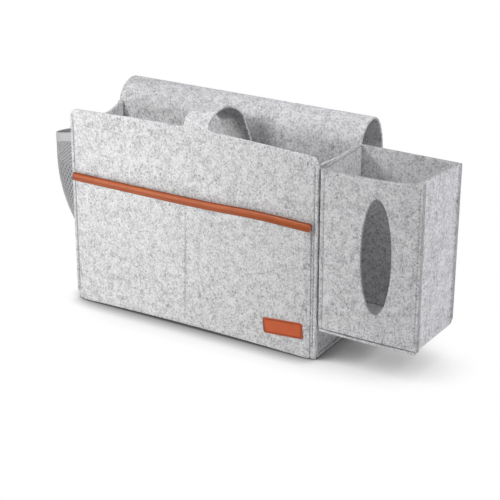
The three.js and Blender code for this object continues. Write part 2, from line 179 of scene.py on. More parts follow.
# Net pocket
NET_ROUND, NET_ROUND_SHARE = 80.0, 0.62
NET_FOOT, NET_STRETCH = 0.012, 1.15
NET_PITCH, NET_STEP = 6.2, 0.5
NET_STRAND, NET_SIDES, NET_WEAVE = (2.0, 0.7), 4, 0.2
# The dark sheet of painted shade behind the net's strands: its thickness, edge and lowest point along the
# net.
NET_SHADE_SHEET, NET_SHADE_SHEET_EDGE, NET_SHADE_SHEET_START = 0.4, 0.15, 0.5
RIM = 1.8
RIM_SAG, RIM_TILT = 13.0, 12.0
RIM_HEIGHT, RIM_LAP = 11.0, 3.0
RIM_LEAF, RIM_FOLD, RIM_EDGE, RIM_CORNER = 0.75, 0.55, 0.25, 0.4
RIB_PITCH, RIB_DEPTH = 1.8, 0.07
RIM_ROW, RIM_GROOVE, RIM_SINK = 2.0, (0.6, 0.15), 0.2

# Tissue box
BOX_CORNER = 5.0
BOX_PINCH, BOX_BEAD = 6.0, 3.0
BOX_GROOVE, PINCH_GROOVE, BEAD_SHAPE = (1.0, 0.5), (0.9, 0.7), (1.4, 1.0)
# Painted shade: a dark line at the pinch beside the front corner, on the walls' cut edges, and over the
# whole base.
BOX_PINCH_SHADE, BOX_EDGE_SHADE, BOX_BASE_SHADE = 0.45, 0.4, 0.25
# Painted shadow along the top of the left wall's inner face, where it stands against the right gusset: its
# darkness, depth, fade and end.
BOX_RIM_SHADE, BOX_RIM_DEPTH, BOX_RIM_FADE, BOX_RIM_END = 0.6, 2.4, 0.8, 4.0
BOX_BACK_RIDGE = 2.4
BOX_SAG = 1.8
BOX_LOW_CORNER = (6.0, 6.0)
BOX_BASE_INSET = 2.0
BOX_TAPER = 4.0
BOX_ROW_FOOT, BACK_FOOT, BOX_ROW_DROP = 5.0, 11.0, 3.0
SLOT = (36.5, 134.0)
SLOT_OFFSET, SLOT_LIFT = 8.4, 102.7

# Hook-and-loop pads
PAD_CORNER, PAD_EDGE, PAD_STEP = 1.5, 0.5, 1.2
PAD_INSET, PAD_BORDER, PAD_SLOPE = 1.6, 3.2, 1.6
PAD_PRESS, PAD_SINK = 0.8, 0.85
REAR_PADS = ("rear_loop_pad_left", "rear_loop_pad_right")

# The photograph's camera: its bearing and height in degrees, its distance and aim in millimetres
VIEW_AZIMUTH, VIEW_ELEVATION = 31.20, 22.96
VIEW_DISTANCE = 1958.2
VIEW_AIM = (42.01, 72.88)
VIEW_FOCAL_SHARE = 1640 / 500
SENSOR = 36.0
CLIP = (0.05, 50.0)


def smooth(share):
    share = np.clip(share, 0, 1)
    return share * share * (3 - 2 * share)


def groove(distance, width, depth):
    return depth * np.exp(-((distance / width) ** 2))


def joined(*values):
    return np.stack(values, 1)


# Nodes for the materials and the sky


class Nodes:
    """Short calls to add nodes to a shader tree and link them."""

    def __init__(self, tree):
        self.tree = tree

    def fill(self, node, inputs):
        for key, value in inputs.items():
            socket = node.inputs[key]
            if isinstance(value, bpy.types.NodeSocket):
                self.tree.links.new(value, socket)
            else:
                socket.default_value = value

    def add(self, kind, inputs=(), **settings):
        node = self.tree.nodes.new("ShaderNode" + kind)
        for key, value in settings.items():
            setattr(node, key, value)
        self.fill(node, dict(inputs))
        return node

    def level(self, factor, low, high, least=0.0):
        inputs = {"Value": factor, "From Min": low, "From Max": high, "To Min": least}
        return self.add("MapRange", inputs).outputs["Result"]

    def math(self, operation, first, second):
        return self.add("Math", {0: first, 1: second}, operation=operation).outputs["Value"]

    def mix(self, factor, first, second):
        node = self.add("Mix", data_type="RGBA")
        enabled = [index for index, socket in enumerate(node.inputs) if socket.enabled]
        self.fill(node, dict(zip(enabled, (factor, first, second))))
        return next(socket for socket in node.outputs if socket.enabled)


class Finish(Nodes):
    """A material on a Principled shader."""

    def __init__(self, name, inputs):
        self.material = bpy.data.materials.new(name)
        self.material.use_nodes = True
        super().__init__(self.material.node_tree)
        self.shader = self.tree.nodes["Principled BSDF"]
        self.fill(self.shader, inputs)

    def coordinates(self):
        return self.add("TexCoord").outputs["Object"]

    def noise(self, vector, scale, detail=2.0, roughness=0.5, distortion=0.0):
        inputs = {"Vector": vector, "Scale": scale, "Detail": detail, "Roughness": roughness,
                  "Distortion": distortion}
        return self.add("TexNoise", inputs).outputs["Fac"]

    def shaded(self, colour, dark):
        """A colour darkened by the mesh's painted shade, kept in its shade attribute: in grooves, on cut
        edges and in hollows.
        """
        return self.mix(self.add("Attribute", attribute_name="shade").outputs["Fac"], colour, dark)

    def bump(self, height, strength, distance):
        node = self.add("Bump", {"Height": height, "Strength": strength, "Distance": distance})
        self.fill(self.shader, {"Normal": node.outputs["Normal"]})


def grey(level, blue=0.01):
    """A grey with a little more blue in it, or less."""
    return level, level, level + blue, 1


FELT_LIGHT, FELT_GREY = grey(0.86, 0.0), grey(0.42, 0.005)
# The second grey below is the felt's painted shade, the colour its grooves and cut edges are darkened
# towards.
FELT_FIBRE, FELT_PAINTED_SHADE = grey(0.14), grey(0.10, 0.005)
FELT_CLOUDS, FELT_CLUMPS, FELT_FUZZ = 110, 430, 1500
FELT_HAIRS = (((0.3, 0.5, 0.2), 240), ((1.2, 0.4, 1.9), 320), ((0.7, 1.5, 0.9), 420))
HAIR_STRETCH = (1, 1, 0.5)


def felt_finish():
    """Pressed felt of light wool with grey fibres in it: clouds, clumps and short curved hairs."""
    felt = Finish("felt", {"Roughness": 0.95, "Specular IOR Level": 0.15, "Sheen Weight": 0.1,
                           "Sheen Roughness": 0.6})
    at = felt.coordinates()
    clouds = felt.noise(at, FELT_CLOUDS)
    clumps = felt.noise(at, FELT_CLUMPS, 3.0, 0.65, 0.6)
    dull = felt.math("ADD", felt.math("MULTIPLY", clouds, 0.4), clumps)
    tone = felt.mix(felt.level(dull, 0.60, 0.94), FELT_LIGHT, FELT_GREY)
    hairs = 0.0
    for turn, scale in FELT_HAIRS:
        lie = {"Vector": at, "Rotation": turn, "Scale": HAIR_STRETCH}
        lying = felt.add("Mapping", lie).outputs["Vector"]
        wave = felt.math("SUBTRACT", felt.noise(lying, scale, 1.5, 0.5, 0.8), 0.5)
        line = felt.level(felt.math("ABSOLUTE", wave, 0.0), 0.03, 0.008)
        part = felt.level(felt.noise(lying, scale * 1.4, 1.0), 0.48, 0.6)
        hairs = felt.math("MAXIMUM", hairs, felt.math("MULTIPLY", line, part))
    hairs = felt.math("MULTIPLY", hairs, felt.level(dull, 0.45, 0.95))
    colour = felt.shaded(felt.mix(hairs, tone, FELT_FIBRE), FELT_PAINTED_SHADE)
    felt.fill(felt.shader, {"Base Color": colour})
    fuzz = felt.noise(at, FELT_FUZZ, 3.0, 0.7)
    felt.bump(felt.math("ADD", fuzz, felt.math("MULTIPLY", clumps, 1.5)), 0.5, 0.0006)
    return felt.material


# The colour below is the leather's painted shade, which its grooves, cut edges and the binding's fold are
# darkened towards.
TAN_PAINTED_SHADE = (0.06, 0.014, 0.006, 1)
TAN_CLOUDS, TAN_GRAIN = 60, 1100


def tan_finish(name, colour, dark, roughness, shine, grain_depth):
    """Smooth artificial leather with a fine grain."""
    tan = Finish(name, {"Specular IOR Level": shine})
    at = tan.coordinates()
    clouds = tan.noise(at, TAN_CLOUDS, 3.0)
    grain = tan.add("TexVoronoi", {"Vector": at, "Scale": TAN_GRAIN}).outputs["Distance"]
    colours = tan.mix(tan.level(clouds, 0.3, 0.7), dark, colour)
    rough = tan.math("ADD", tan.math("MULTIPLY", grain, 0.15), roughness)
    tan.fill(tan.shader, {"Base Color": tan.shaded(colours, TAN_PAINTED_SHADE), "Roughness": rough})
    tan.bump(grain, 0.25, grain_depth)
    return tan.material


def yarn_finish(name, light, dark, scale, sheen=0.2):
    """Twisted yarn or tape: fine light and dark fibres."""
    yarn = Finish(name, {"Roughness": 0.85, "Specular IOR Level": 0.25, "Sheen Weight": sheen,
                         "Sheen Roughness": 0.5})
    fibres = yarn.noise(yarn.coordinates(), scale, 3.0, 0.65)
    yarn.fill(yarn.shader, {"Base Color": yarn.mix(yarn.level(fibres, 0.35, 0.65), dark, light)})
    yarn.bump(fibres, 0.5, 0.0004)
    return yarn.material


FELT_LOOK = felt_finish()
BINDING_LOOK = tan_finish("tan_binding", (0.50, 0.11, 0.022, 1), (0.42, 0.084, 0.016, 1),
                          roughness=0.25, shine=0.3, grain_depth=0.0001)
LABEL_LOOK = tan_finish("tan_label", (0.66, 0.14, 0.05, 1), (0.58, 0.115, 0.038, 1),
                        roughness=0.5, shine=0.25, grain_depth=0.0003)
NET_LOOK = yarn_finish("net_yarn", grey(0.56), grey(0.42), 2500)
# A dark yarn for the sheet of painted shade behind the net's strands.
NET_SHADE_SHEET_LOOK = yarn_finish("net_shade_sheet", grey(0.26), grey(0.14), 1800)
ELASTIC_LOOK = yarn_finish("elastic_tape", grey(0.62), grey(0.46), 2200)
THREAD_LOOK = yarn_finish("grey_thread", grey(0.34), grey(0.22), 3000)
PALE_THREAD_LOOK = yarn_finish("pale_thread", grey(0.60), grey(0.46), 3000)
TAN_THREAD_LOOK = yarn_finish("tan_thread", (0.26, 0.05, 0.018, 1), (0.16, 0.03, 0.012, 1), 3000)
LOOP_LOOK = yarn_finish("loop_pile", grey(0.86, -0.01), grey(0.62, -0.01), 1500, sheen=0.35)
HOOK_LOOK = yarn_finish("hook_tape", grey(0.80, -0.01), grey(0.66, -0.01), 1800, sheen=0.1)


# Flat patterns that are bent into shape and given a thickness


def unit(ways):
    return ways / np.linalg.norm(ways, axis=1)[:, None]


def distances(points):
    """How far along a line each of its points lies."""
    return np.concatenate([[0], np.cumsum(np.linalg.norm(np.diff(points, axis=0), axis=1))])


def follow(at, along, values):
    """Rows of values found between those of a line's points, at some distances along it."""
    return np.stack([np.interp(at, along, column) for column in values.T], 1)


class Route:
    """A flat line of straights and arcs, followed by its length."""

    def __init__(self, *runs):
        points = np.vstack(runs)
        moved = np.concatenate([[True], np.diff(distances(points)) > 1e-6])
        self.points = points[moved]
        self.along = distances(self.points)
        self.length = self.along[-1]

    def at(self, along):
        return follow(along, self.along, self.points).T


def straight(*points):
    return np.array(points, float)


def arc(centre, radii, start, end, count=160):
    """An arc of a circle with one radius, or of an ellipse with two. Its angles are in degrees."""
    turn = np.radians(np.linspace(start, end, count))
    return np.array(centre) + joined(np.cos(turn), np.sin(turn)) * radii


def stations(low, high, step, *fine):
    """Grid lines from low to high, with closer ones about some places: (place, reach, step)."""
    runs = [np.arange(low, high, step)]
    runs += [np.arange(at - reach, at + reach, close) for at, reach, close in fine]
    lines = np.unique(np.concatenate(runs).round(3))
    lines = lines[(lines > low) & (lines < high)]
    least = min([close for _, _, close in fine] + [step]) * 0.6
    kept = [lines[0]]
    for line in lines[1:]:
        if line - kept[-1] >= least:
            kept.append(line)
    return np.array(kept)


def grid(low, high, across, up):
    return stations(low[0], high[0], across), stations(low[1], high[1], up)


def resample(outline, step):
    """A closed outline with points no further apart than a step."""
    points = []
    for start, end in zip(outline, np.roll(outline, -1, axis=0)):
        count = max(int(math.ceil(np.linalg.norm(end - start) / step)), 1)
        points.append(start + (end - start) * np.arange(count)[:, None] / count)
    return np.vstack(points)


def outward(outline):
    """Directions out of the cloth at an outline's points, longer at corners to keep an even inset."""
    ahead = unit(np.roll(outline, -1, axis=0) - outline)
    sides = joined(ahead[:, 1], -ahead[:, 0])
    both = sides + np.roll(sides, 1, axis=0)
    return both / np.maximum((both * both).sum(1) / 2, 0.5)[:, None]


def inside(points, outline):
    start, end = outline, np.roll(outline, -1, axis=0)
    x, y = points[:, :1], points[:, 1:]
    spans = (start[:, 1] > y) != (end[:, 1] > y)
    rise = np.where(start[:, 1] == end[:, 1], 1, end[:, 1] - start[:, 1])
    crossing = start[:, 0] + (y - start[:, 1]) * (end[:, 0] - start[:, 0]) / rise
    return (spans & (x < crossing)).sum(1) % 2 == 1


def nearest(points, outline):
    """Distance from each point to an outline's own points, which lie close together."""
    least = np.full(len(points), np.inf)
    for chunk in np.array_split(np.arange(len(outline)), max(len(outline) // 100, 1)):
        apart = points[:, None] - outline[chunk]
        least = np.minimum(least, np.sqrt((apart * apart).sum(2).min(1)))
    return least


def fill(loops, columns, rows, clear):
    """Triangles that fill the first loop, less the others, through a grid of points."""
    grid = np.stack(np.meshgrid(columns, rows), -1).reshape(-1, 2)
    grid = grid[inside(grid, loops[0])]
    for hole in loops[1:]:
        grid = grid[~inside(grid, hole)]
    for loop in loops:
        grid = grid[nearest(grid, loop) > clear]
    points = np.vstack([*loops, grid])
    ends = np.cumsum([0, *map(len, loops)]).tolist()
    rings = [list(range(start, end)) for start, end in zip(ends, ends[1:])]
    edges = [edge for ring in rings for edge in zip(ring, ring[1:] + ring[:1])]
    made = delaunay_2d_cdt([Vector(p) for p in points], edges, [], 1, 1e-5)
    flat = np.array([tuple(p) for p in made[0]])
    triangles = np.array(made[2])
    for hole in loops[1:]:
        triangles = triangles[~inside(flat[triangles].mean(1), hole)]
    found = {old: new for new, olds in enumerate(made[3]) for old in olds}
    return flat, triangles, [np.array([found[old] for old in ring]) for ring in rings]


def directions(bend, s, t, step=0.2):
    """Unit directions along s and t, and the normal, where a bent pattern lies."""
    along = unit(bend(s + step, t) - bend(s - step, t))
    up = unit(bend(s, t + step) - bend(s, t - step))
    return along, up, unit(np.cross(along, up))


def new_object(name, data):
    made = bpy.data.objects.new(name, data)
    bpy.context.scene.collection.objects.link(made)
    return made


def new_piece(name, points, faces, look):
    mesh = bpy.data.meshes.new(name)
    mesh.from_pydata((np.asarray(points) * MM).tolist(), [], [list(map(int, f)) for f in faces])
    mesh.polygons.foreach_set("use_smooth", [True] * len(mesh.polygons))
    mesh.materials.append(look)
    mesh.validate()
    mesh.update()
    return new_object(name, mesh)


def nothing(s, t):
    return np.zeros(len(s))


def cloth(name, look, bend, outline, columns, rows, holes=(), thickness=FELT, edge=EDGE, step=2.5,
          press=nothing, press_under=nothing, shade=nothing, shade_under=nothing,
          edge_shade=EDGE_SHADE):
    """A closed piece of cloth: a flat outline with holes, bent into shape, with rounded cut edges.
    The outline runs anticlockwise and the holes clockwise. press gives how far each face is sewn in,
    shade how much painted shade each face gets, and edge_shade the painted shade on the cut edges."""
    loops = [resample(np.asarray(loop, float), step) for loop in (outline, *holes)]
    ways = [outward(loop) for loop in loops]
    inset = [loop - way * edge for loop, way in zip(loops, ways)]
    flat, triangles, rings = fill(inset, columns, rows, edge)
    s, t = flat.T
    middle = bend(s, t)
    along, up, normal = directions(bend, s, t)
    top = middle + normal * (thickness / 2 - press(s, t))[:, None]
    under = middle - normal * (thickness / 2 - press_under(s, t))[:, None]
    count = len(flat)
    points = [top, under]
    shades = [shade(s, t), shade_under(s, t)]
    faces = [*triangles, *(triangles[:, ::-1] + count)]
    total = 2 * count
    for ring, way in zip(rings, ways):
        out = along[ring] * way[:, :1] + up[ring] * way[:, 1:]
        centre = (top[ring] + under[ring]) / 2
        half = (top[ring] - under[ring]) / 2
        bands = [ring]
        for k in range(1, EDGE_RINGS):
            turn = math.pi * k / EDGE_RINGS
            level = math.copysign(abs(math.cos(turn)) ** EDGE_ROUNDING, math.cos(turn))
            points.append(centre + half * level + out * edge * math.sin(turn) ** EDGE_ROUNDING)
            # Painted shade on the rounded cut edges.
            shades.append(np.full(len(ring), edge_shade))
            bands.append(np.arange(total, total + len(ring)))
            total += len(ring)
        bands.append(ring + count)
        for near, far in zip(bands, bands[1:]):
            faces += list(joined(near, far, np.roll(far, -1), np.roll(near, -1)))
    piece = new_piece(name, np.vstack(points), faces, look)
    # The painted shade of every point is kept in the mesh's shade attribute.
    values = piece.data.attributes.new("shade", "FLOAT", "POINT").data
    values.foreach_set("value", np.concatenate(shades))
    return piece


def rectangle(low, high, corners=0.0):
    """A rectangle's outline, anticlockwise from the low left, with one radius or one for each corner."""
    (x0, y0), (x1, y1) = low, high
    places = ((x0, y0, -1, -1, 180), (x1, y0, 1, -1, 270), (x1, y1, 1, 1, 0), (x0, y1, -1, 1, 90))
    runs = []
    for (x, y, right, top, start), radius in zip(places, np.broadcast_to(corners, 4)):
        if radius:
            runs.append(arc((x - right * radius, y - top * radius), radius, start, start + 90, 9))
        else:
            runs.append(straight((x, y)))
    return np.vstack(runs)


def from_rim(half, s, t):
    return np.minimum(half[0] - np.abs(s), half[1] - np.abs(t))


def border(low, high, corners=0.0):
    """A rectangle's outline as a line that ends where it starts."""
    loop = rectangle(low, high, corners)
    return np.vstack([loop, loop[:1]])


# Threads


def tubes(strands, width, height, sides, taper=np.ones(1)):
    """Closed tubes with oval sections, as points and faces. A strand is a path and its normals."""
    points = []
    faces = []
    total = 0
    turn = np.linspace(0, 2 * math.pi, sides, endpoint=False)
    reach = taper[:, None, None]
    for path, up in strands:
        ahead = unit(np.gradient(path, axis=0))
        side = unit(np.cross(ahead, up))
        lift = np.cross(side, ahead)
        ring = side[:, None] * (np.cos(turn) * width / 2)[:, None] * reach
        ring = ring + lift[:, None] * (np.sin(turn) * height / 2)[:, None] * reach
        points.append((path[:, None] + ring).reshape(-1, 3))
        index = np.arange(len(path) * sides).reshape(len(path), sides) + total
        after = np.roll(index, -1, axis=1)
        faces += list(np.stack([index[:-1], after[:-1], after[1:], index[1:]], -1).reshape(-1, 4))
        faces += [index[0][::-1], index[-1]]
        total += len(path) * sides
    return np.vstack(points), faces


def seam(bend, corners, press, side=1, thickness=FELT):
    """A line of points on a face of a bent pattern, and the face's normals there."""
    line = Route(np.array(corners, float))
    s, t = line.at(np.linspace(0, line.length, max(int(line.length / SEAM_STEP), 2)))
    normal = directions(bend, s, t)[2] * side
    return bend(s, t) + normal * (thickness / 2 - press), normal


STITCH_SHAPE = np.linspace(-1, 1, 7)
STITCH_BOW = 0.25 - 0.75 * STITCH_SHAPE**2
STITCH_TAPER = np.sqrt(1.15 - STITCH_SHAPE**2)


def stitches(name, look, seams, body, sewing=FELT_SEWING):
    """Rows of sewn stitches, each a short bow of thread with its ends sunk in the cloth."""
    pitch, length, thread = sewing
    strands = []
    for points, normals in seams:
        along = distances(points)
        count = max(int(along[-1] / pitch), 1)
        for middle in (np.arange(count) + 0.5) * along[-1] / count:
            at = middle + STITCH_SHAPE * length / 2
            up = follow(at, along, normals)
            strands.append((follow(at, along, points) + up * (STITCH_BOW * thread)[:, None], up))
    points, faces = tubes(strands, thread, thread, THREAD_SIDES, STITCH_TAPER)
    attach(new_piece(name, points, faces, look), body)


def dress(piece, body, slot, *nodes):
    """Sets a piece in a body in place of its CAD nodes."""
    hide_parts(*nodes)
    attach(piece, body)


def felt_piece(nodes, body, bend, outline, columns, rows, edge_shade=0.0, **faces):
    """A piece of felt in place of its CAD nodes, named after the first of them."""
    name = nodes[0] + "_felt"
    piece = cloth(name, FELT_LOOK, bend, outline, columns, rows, edge_shade=edge_shade, **faces)
    dress(piece, body, "felt", *nodes)


# Bag


def bottom_lift(x, z):
    """The bag stands on its corners: between them the front's lower edge is a little higher."""
    return BOTTOM_LIFT * (1 - (x / RIDGE_X) ** 2) * np.clip(1 - z / LIFT_HEIGHT, 0, 1) ** 2


def front_bow(x, z):
    span = np.minimum(np.abs(x) / (WALL_X - FELT), 1)
    rise = smooth((z - POCKET_TOP) / (BAG_HEIGHT - POCKET_TOP))
    return TOP_BOW * (1 - span**2) ** 2 * rise


def front_top(x):
    return BAG_HEIGHT + TOP_CROWN * (1 - (x / RIDGE_X) ** 2)


STRAP_START_Y = FRONT_Y + FELT / 2 + float(front_bow(STRAP_X, BAG_HEIGHT))
STRAP_CREST_Y = STRAP_START_Y + STRAP_CREST
STRAP_BEND = math.asin((STRAP_BEND_Y - STRAP_CREST_Y) / STRAP_BACK[0])
STRAP_BEND_Z = STRAP_CREST_Z - STRAP_BACK[1] * (1 - math.cos(STRAP_BEND))
STRAP_TAIL_Z = STRAP_FOOT[1] - STRAP_TAIL
STRAP_ROUTE = Route(
    arc((STRAP_CREST_Y, FRONT_TOP), (STRAP_CREST, STRAP_CREST_Z - FRONT_TOP), 180, 90),
    arc((STRAP_CREST_Y, STRAP_CREST_Z - STRAP_BACK[1]), STRAP_BACK, 90, 90 - math.degrees(STRAP_BEND)),
    straight((STRAP_BEND_Y, STRAP_BEND_Z), STRAP_CREASE, STRAP_FOOT, (RIDGE_Y, STRAP_TAIL_Z)),
    straight((RIDGE_Y, STRAP_TAIL_Z), (RIDGE_Y, STRAP_LOW + STRAP_TWIST)),
)
STRAP_END = FRONT_TOP + STRAP_ROUTE.length


def front_bend(s, t):
    """The front panel, and above it the strap, which arches back over the mouth with its left edge
    lower. Past its crease the strap hangs down and a little to the right."""
    z = np.minimum(t, FRONT_TOP)
    y = FRONT_Y + FELT / 2 + front_bow(s, z)
    along = np.maximum(t - FRONT_TOP, 0)
    strap_y, strap_z = STRAP_ROUTE.at(along)
    fade = np.clip(1 - along / STRAP_CREST, 0, 1) ** 2
    arched = t > FRONT_TOP
    across = np.clip((STRAP_X + STRAP_HALF - s) / (2 * STRAP_HALF), 0, 1)
    twist = STRAP_TWIST * across * smooth(along / STRAP_ROUTE.length / TWIST_SHARE)
    y = np.where(arched, strap_y + (y - STRAP_START_Y) * fade, y)
    z = np.where(arched, strap_z - twist, z + bottom_lift(s, z))
    skew = STRAP_SKEW * smooth((STRAP_CREASE[1] - strap_z) / (STRAP_CREASE[1] - STRAP_FOOT[1]))
    return joined(s + np.where(along > STRAP_CREST * 2, skew, 0), y, z)


def top_edge(start, end):
    x = np.linspace(start, end, 40)
    return joined(x, front_top(x))


def front_outline():
    """The front panel with its rounded top corners and the strap's tongue."""
    right, left = STRAP_X + STRAP_HALF, STRAP_X - STRAP_HALF
    right_root, left_root = right + STRAP_FILLET, left - STRAP_FILLET
    corner_x, corner_z = RIDGE_X - TOP_CORNER, BAG_HEIGHT - TOP_CORNER
    return np.vstack([
        straight((LOW_CORNER[0] - RIDGE_X, 0), (RIDGE_X, 0)),
        arc((corner_x, corner_z), TOP_CORNER, 0, 90, 12)[:-1],
        top_edge(corner_x, right_root),
        arc((right_root, front_top(right_root) + STRAP_FILLET), STRAP_FILLET, 270, 180, 8)[1:],
        straight((right, STRAP_END), (left, STRAP_END)),
        arc((left_root, front_top(left_root) + STRAP_FILLET), STRAP_FILLET, 0, -90, 8)[:-1],
        top_edge(left_root, -corner_x),
        arc((-corner_x, corner_z), TOP_CORNER, 90, 180, 12)[1:],
        straight((-RIDGE_X, LOW_CORNER[1])),
    ])


def ridge_press(s, t):
    """The row of stitches draws the felt in beside each ridge."""
    return groove(np.abs(s) - STITCH_X, *RIDGE_GROOVE) * smooth(t / GROOVE_RISE) * (t < GROOVE_TOP)


# Painted shade along the stitch grooves beside the ridges.
def ridge_shade(s, t):
    ends = smooth(t / GROOVE_RISE) * smooth((GROOVE_TOP - t) / GROOVE_FADE)
    return groove(np.abs(s) - STITCH_X, SHADE_WIDTH, np.where(s < 0, *RIDGE_SHADE)) * ends


def front_panel():
    columns = stations(-RIDGE_X, RIDGE_X, 4, (-STITCH_X, 3, 0.6), (STITCH_X, 3, 0.6),
                       (STRAP_X, STRAP_HALF, 2.5))
    rows = [*stations(0, FRONT_TOP, 4, (FRONT_TOP, 10, 2)), *stations(FRONT_TOP, STRAP_END, 2)]
    felt_piece(("front_panel", "carry_strap"), "bag", front_bend, front_outline(), columns, rows,
               press=ridge_press, shade=ridge_shade)


BACK_ROUTE = Route(
    straight((PANEL_Y, 0), (PANEL_Y, BEND_Z)),
    arc((CREST_Y, BEND_Z), (CREST_Y - PANEL_Y, CREST_Z - BEND_Z), 180, 90),
    arc((CREST_Y, CREST_Z - FLAP_SHOULDER), (LEG_Y - CREST_Y, FLAP_SHOULDER), 90, 0),
    straight((LEG_Y, CREST_Z - FLAP_SHOULDER), (LEG_Y, FLAP_END)),
)


def back_bend(s, t):
    """Up the back, over the crest, which droops most of all at its left end, and down the flap."""
    y, z = BACK_ROUTE.at(t)
    left, right = CREST_DROOP
    droop = left + (right - left) * (s + RIDGE_X) / (2 * RIDGE_X)
    return joined(s, y, z - droop * np.clip((z - BEND_Z) / (CREST_Z - BEND_Z), 0, 1))


def back_panel():
    """The back and the flap are one piece of felt, which bends over at the top and hangs down behind."""
    corners = (BACK_CORNER, BACK_CORNER, FLAP_CORNER, FLAP_CORNER)
    outline = rectangle((-RIDGE_X, 0), (RIDGE_X, BACK_ROUTE.length), corners)
    columns = stations(-RIDGE_X, RIDGE_X, 4, (-STITCH_X, 3, 0.8), (STITCH_X, 3, 0.8))
    rows = stations(0, BACK_ROUTE.length, 3)

    def press(s, t):
        ends = smooth(t / GROOVE_RISE) * smooth((BEND_Z - t) / GROOVE_FADE)
        return groove(np.abs(s) - STITCH_X, *BACK_GROOVE) * ends

    piece = cloth("back_and_flap_felt", FELT_LOOK, back_bend, outline, columns, rows, press_under=press)
    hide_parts("back_panel", "hanger_flap")
    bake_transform(piece)


def side_route(ridge_x, depth, middle_y=0.0, back_ridge=SEAM_RIDGE):
    """Plan of a side wall, from the front ridge to the back one, with its edges turned out into them."""
    front, back = middle_y - depth, middle_y + depth
    front_turn = ridge_x - SEAM_RIDGE - FELT / 2 + FOLD
    back_fold = min(FOLD, back_ridge)
    back_turn = ridge_x - back_ridge - FELT / 2 + back_fold
    return Route(
        straight((ridge_x, front), (front_turn, front)),
        arc((front_turn, front + FOLD), FOLD, 270, 180, 60),
        arc((back_turn, back - back_fold), back_fold, 180, 90, 60),
        straight((back_turn, back), (ridge_x, back)),
    )


def turned_out(length):
    """Closer grid lines where a side wall's two edges are turned out."""
    return (5, 5, 0.7), (length - 5, 5, 0.7)


GUSSET_ROUTE = side_route(RIDGE_X, RIDGE_Y)


def gusset_middle(y):
    return np.maximum(1 - (y / (RIDGE_Y - FOLD)) ** 2, 0) ** 2


def gusset_top(y, drop, sag):
    slant = smooth((y - FRONT_Y) / (BACK_Y - FRONT_Y))
    return BAG_HEIGHT - (drop[0] + (drop[1] - drop[0]) * slant) - sag * gusset_middle(y)


def gusset_bend(side, lean, drop, sag):
    def bend(s, t):
        x, y = GUSSET_ROUTE.at(s if side > 0 else GUSSET_ROUTE.length - s)
        top = gusset_top(y, drop, sag)
        leaning = lean * gusset_middle(y) * smooth((t - top + LEAN_HEIGHT) / LEAN_HEIGHT)
        wall = smooth((RIDGE_X - x) / SEAM_RIDGE)
        flare = BASE_FLARE * wall * np.clip(1 - (t - FELT) / FLARE_HEIGHT, 0, 1) ** 2
        return joined(side * (x + leaning + flare), y, t)

    return bend


def gusset(node, side, lean, drop, sag):
    length = GUSSET_ROUTE.length
    along = np.linspace(length, 0, 90)
    y = GUSSET_ROUTE.at(along if side > 0 else length - along)[1]
    top = joined(along, gusset_top(y, drop, sag))
    outline = np.vstack([straight((0, FELT + GAP), (length, FELT + GAP)), top])
    columns = stations(0, length, 3.2, *turned_out(length))
    rows = stations(0, BAG_HEIGHT, 4, (FELT, FLARE_HEIGHT, 1.5))
    felt_piece([node], "bag", gusset_bend(side, lean, drop, sag), outline, columns, rows)


def base_panel():
    low, high = BASE_LOW[:2], BASE_HIGH[:2]

    def bend(s, t):
        lift = bottom_lift(s, np.zeros(len(s))) * smooth(-t / INNER_Y)
        return joined(s, t, FELT / 2 + lift)

    felt_piece(["base_panel"], "bag", bend, rectangle(low, high, BASE_CORNER), *grid(low, high, 6, 6))


# Front pocket, its binding and its label


def seam_x(z):
    return SEAM_BOTTOM_X + (SEAM_TOP_X - SEAM_BOTTOM_X) * z / POCKET_TOP


def pocket_y(x, z):
    """The pocket stands off the front, apart from its sewn-down ends below the mouth."""
    ends = smooth((np.abs(x) - POCKET_X + POCKET_END) / POCKET_END)
    held = ends * smooth((POCKET_TOP - POCKET_LOOSE - z) / POCKET_FADE)
    gape = (STANDOFF + GAPE * (1 - (x / POCKET_X) ** 4)) * (1 - held)
    return FRONT_Y - GAP - FELT / 2 - gape * np.clip(z / POCKET_TOP, 0, 1) ** 1.5


def pocket_z(x, z):
    """The mouth's edge rises a little, most of all right of the middle."""
    share = x / POCKET_X
    crown = POCKET_RISE + POCKET_CROWN * np.exp(-(((share - POCKET_PEAK) / POCKET_SPREAD) ** 2))
    return z + crown * np.clip(z / POCKET_TOP, 0, 1) ** 4 + bottom_lift(x, z)


def pocket_bend(s, t):
    return joined(s, pocket_y(s, t), pocket_z(s, t))


def seam_share(t):
    """The middle seam's depth fades at its two ends."""
    return smooth((t - SEAM_ENDS[0]) / SEAM_FADE) * smooth((SEAM_ENDS[1] - t) / SEAM_FADE)


def pocket_press(s, t):
    """The middle seam, the sewn-down ends and a crease where the lower right corner is drawn in."""
    middle = groove(s - seam_x(t), *SEAM_GROOVE) * seam_share(t)
    ends = END_PRESS * smooth((np.abs(s) - POCKET_X + END_REACH) / END_REACH)
    share = (s - CREASE_START[0]) / (CREASE_END[0] - CREASE_START[0])
    line = CREASE_START[1] + (CREASE_END[1] - CREASE_START[1]) * share
    crease = groove(t - line, *CREASE_GROOVE) * smooth(share)
    bottom = FOOT_PRESS * smooth((FOOT_REACH - t) / FOOT_REACH)
    return np.minimum(middle + ends + crease + bottom, MOST_PRESS)


# Painted shade along the middle seam's groove.
def pocket_shade(s, t):
    return groove(s - seam_x(t), SHADE_WIDTH, SEAM_SHADE) * seam_share(t)


